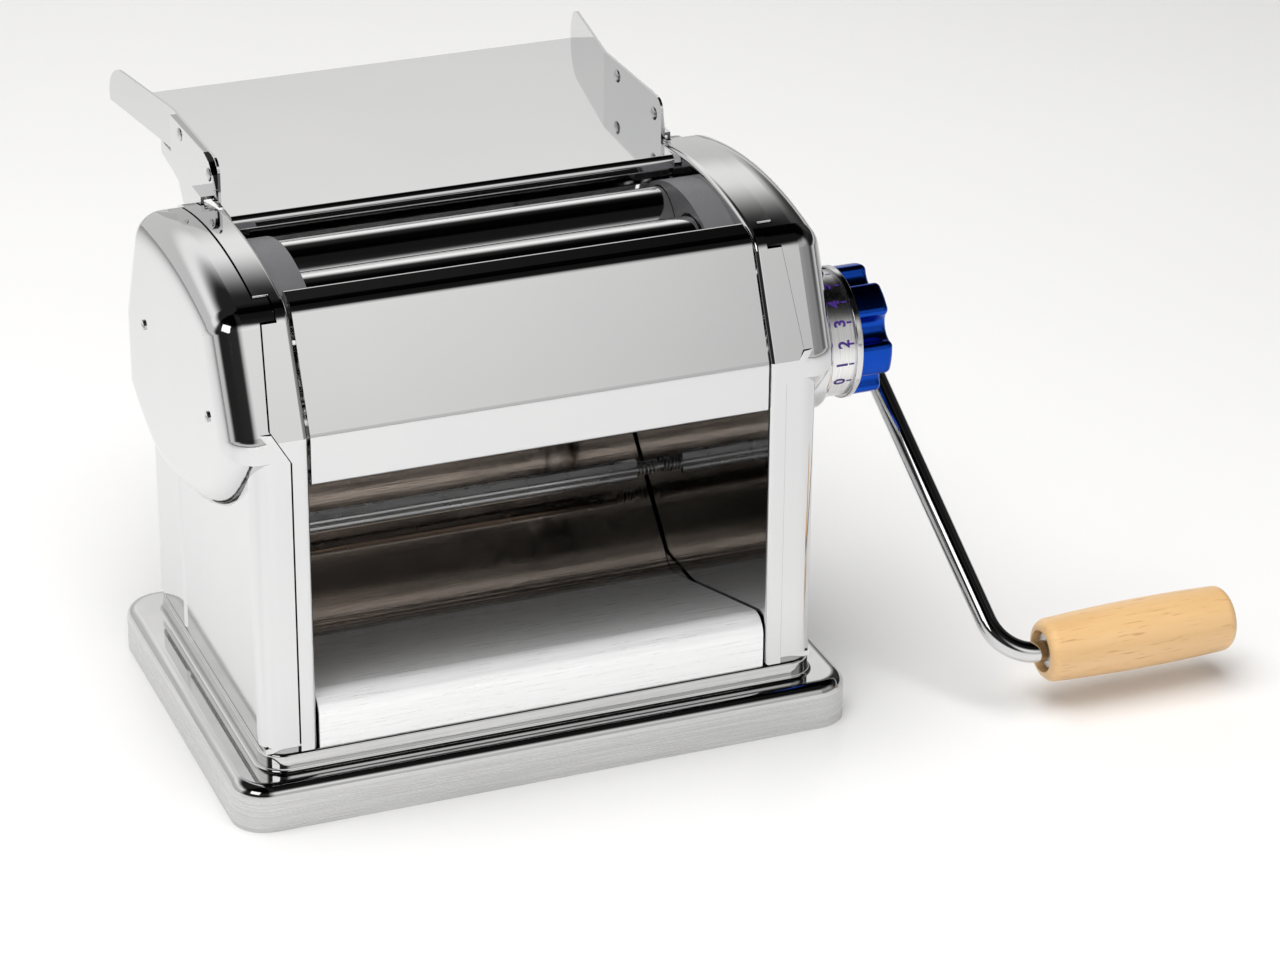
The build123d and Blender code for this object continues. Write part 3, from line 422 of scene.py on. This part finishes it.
HEAD_RADIUS = 3.2 * MM
SHANK_RADIUS = 1.6 * MM
INNER_HEAD = 1.2 * MM
OUTER_HEAD = 1.0 * MM
HEAD_UNDERSIDE = 0.05 * MM
rivet_low, rivet_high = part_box("tray_rivets")
rivet_rear = (rivet_high[1] - HEAD_RADIUS, rivet_high[2] - HEAD_RADIUS)
rivet_front = (rivet_low[1] + HEAD_RADIUS, rivet_low[2] + HEAD_RADIUS)
rivet_length = rivet_high[0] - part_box("tray_guide_right")[0][0] + INNER_HEAD
cap_start = rivet_length - OUTER_HEAD
dome = [(0.0, 0.4 * MM), (0.2 * MM, 1.7 * MM), (0.7 * MM, 2.8 * MM), (INNER_HEAD, HEAD_RADIUS)]
shank = [(INNER_HEAD + HEAD_UNDERSIDE, SHANK_RADIUS), (cap_start - HEAD_UNDERSIDE, SHANK_RADIUS)]
cap = [
    (cap_start, HEAD_RADIUS),
    (rivet_length - 0.6 * MM, 2.9 * MM),
    (rivet_length - 0.2 * MM, 1.9 * MM),
    (rivet_length, 0.5 * MM),
]
rivet_mesh = bmesh.new()
for side in (1, -1):
    start = side * (rivet_high[0] - rivet_length)
    for place in (rivet_front, rivet_rear):
        lathe(rivet_mesh, (start, *place), side, dome + shank + cap)
domed_rivets = mesh_piece("domed_rivets", rivet_mesh)
finish_piece(domed_rivets, MATERIALS["machined_steel"], "tray", ("tray_rivets",))

# ------------------------------------------------------------------ floor, light and camera
FLOOR_HALF = 6.0
WORLD_LEVEL = 1.05
WORLD_WHITE = (1.0, 0.995, 0.985, 1)

floor_mesh = bmesh.new()
bmesh.ops.create_grid(floor_mesh, x_segments=8, y_segments=8, size=FLOOR_HALF)
floor = mesh_piece("floor", floor_mesh)
floor.location.z = min(cad_box[0][2], 0.0)
floor_material, floor_shader = new_material("pale_floor")
floor_tone = noise(floor_material, 1.5, 3)
floor_tones = [(0.3, (0.86, 0.855, 0.85)), (0.7, (0.89, 0.885, 0.88))]
floor_shade = ramp(floor_material, floor_tone, "Fac", floor_tones)
link(floor_material, floor_shade, "Color", floor_shader, "Base Color")
floor_gloss = ramp(floor_material, floor_tone, "Fac", [(0.3, (0.32,)), (0.7, (0.38,))])
link(floor_material, floor_gloss, "Color", floor_shader, "Roughness")
floor.data.materials.append(floor_material)

world = bpy.data.worlds.new("studio")
bpy.context.scene.world = world
world.use_nodes = True
tree = world.node_tree
background = tree.nodes["Background"]
direction = tree.nodes.new("ShaderNodeTexCoord")
split = tree.nodes.new("ShaderNodeSeparateXYZ")
tree.links.new(direction.outputs["Generated"], split.inputs["Vector"])


def world_range(source, low, high, start=0.0, end=1.0):
    """A soft step of a world value between two limits."""
    step = tree.nodes.new("ShaderNodeMapRange")
    step.interpolation_type = "SMOOTHSTEP"
    step.inputs["From Min"].default_value = low
    step.inputs["From Max"].default_value = high
    step.inputs["To Min"].default_value = start
    step.inputs["To Max"].default_value = end
    tree.links.new(source, step.inputs["Value"])
    return step.outputs["Result"]


def world_product(first, second):
    """Two world values multiplied."""
    product = tree.nodes.new("ShaderNodeMath")
    product.operation = "MULTIPLY"
    tree.links.new(first, product.inputs[0])
    tree.links.new(second, product.inputs[1])
    return product.outputs["Value"]


def dark_screen(azimuth, core, edge, low, high, dark):
    """The brightness left by a dark standing screen.

    The screen is turned by the azimuth from straight in front towards the left. It is fully dark
    within the core's half-angle, ends at the edge's, and rises between two heights of the sky.
    """
    flat = tree.nodes.new("ShaderNodeVectorMath")
    flat.operation = "MULTIPLY"
    flat.inputs[1].default_value = (1, 1, 0)
    tree.links.new(direction.outputs["Generated"], flat.inputs[0])
    unit = tree.nodes.new("ShaderNodeVectorMath")
    unit.operation = "NORMALIZE"
    tree.links.new(flat.outputs["Vector"], unit.inputs[0])
    facing = tree.nodes.new("ShaderNodeVectorMath")
    facing.operation = "DOT_PRODUCT"
    turn = math.radians(azimuth)
    facing.inputs[1].default_value = (-math.sin(turn), -math.cos(turn), 0)
    tree.links.new(unit.outputs["Vector"], facing.inputs[0])
    edge_cosine = math.cos(math.radians(edge))
    core_cosine = math.cos(math.radians(core))
    inside = world_range(facing.outputs["Value"], edge_cosine, core_cosine)
    height = world_range(split.outputs["Z"], low, high)
    screen = world_product(inside, height)
    return world_range(screen, 0.0, 1.0, 1.0, dark)


# pale walls, a little darker near the ground, under a black ceiling
ceiling = world_range(split.outputs["Z"], low=0.50, high=0.74, start=1.0, end=0.02)
horizon = world_range(split.outputs["Z"], low=0.26, high=0.44, start=0.66, end=1.0)
left_screen = dark_screen(azimuth=45, core=34, edge=58, low=0.03, high=0.16, dark=0.03)
right_screen = dark_screen(azimuth=-108, core=24, edge=54, low=0.02, high=0.16, dark=0.05)
grey_screen = dark_screen(azimuth=-66, core=28, edge=52, low=0.0, high=0.10, dark=0.45)
screens = world_product(world_product(left_screen, right_screen), grey_screen)
level = world_product(world_product(ceiling, horizon), screens)
strength = tree.nodes.new("ShaderNodeMath")
strength.operation = "MULTIPLY"
strength.inputs[1].default_value = WORLD_LEVEL
tree.links.new(level, strength.inputs[0])
tree.links.new(strength.outputs["Value"], background.inputs["Strength"])
background.inputs["Color"].default_value = WORLD_WHITE


def area_light(name, place, target, size, power):
    """A rectangular soft light aimed at a place."""
    light = bpy.data.lights.new(name, "AREA")
    light.shape = "RECTANGLE"
    light.size, light.size_y = size
    light.energy = power
    holder = bpy.data.objects.new(name, light)
    holder.location = place
    holder.rotation_euler = (Vector(target) - Vector(place)).to_track_quat("-Z", "Y").to_euler()
    bpy.context.collection.objects.link(holder)
    return holder


overhead = area_light("overhead", (-0.3, -0.1, 2.2), (0, 0, 0), size=(2.2, 2.2), power=66)
overhead.visible_glossy = False
area_light("key", (-1.6, -1.3, 1.5), (0, 0, 0.1), size=(1.2, 0.9), power=6)
fill = area_light("fill", (-0.3, -1.7, 0.55), (0, 0, 0.06), size=(0.9, 0.5), power=9)
fill.visible_glossy = False
bpy.context.scene.view_settings.view_transform = "Standard"

CAMERA_PLACE = (-0.5780, -1.6679, 0.9752)
CAMERA_HEADING = -21.52
CAMERA_PITCH = -26.35
CAMERA_ROLL = 0.39
camera_data = bpy.data.cameras.new("camera")
camera_data.sensor_width = 36
camera_data.lens = 120.7
camera = bpy.data.objects.new("camera", camera_data)
camera.location = CAMERA_PLACE
heading = Matrix.Rotation(math.radians(CAMERA_HEADING), 4, "Z")
tilt = Matrix.Rotation(math.radians(90 + CAMERA_PITCH), 4, "X")
roll = Matrix.Rotation(math.radians(CAMERA_ROLL), 4, "Z")
camera.rotation_euler = (heading @ tilt @ roll).to_euler()
bpy.context.collection.objects.link(camera)
bpy.context.scene.camera = camera
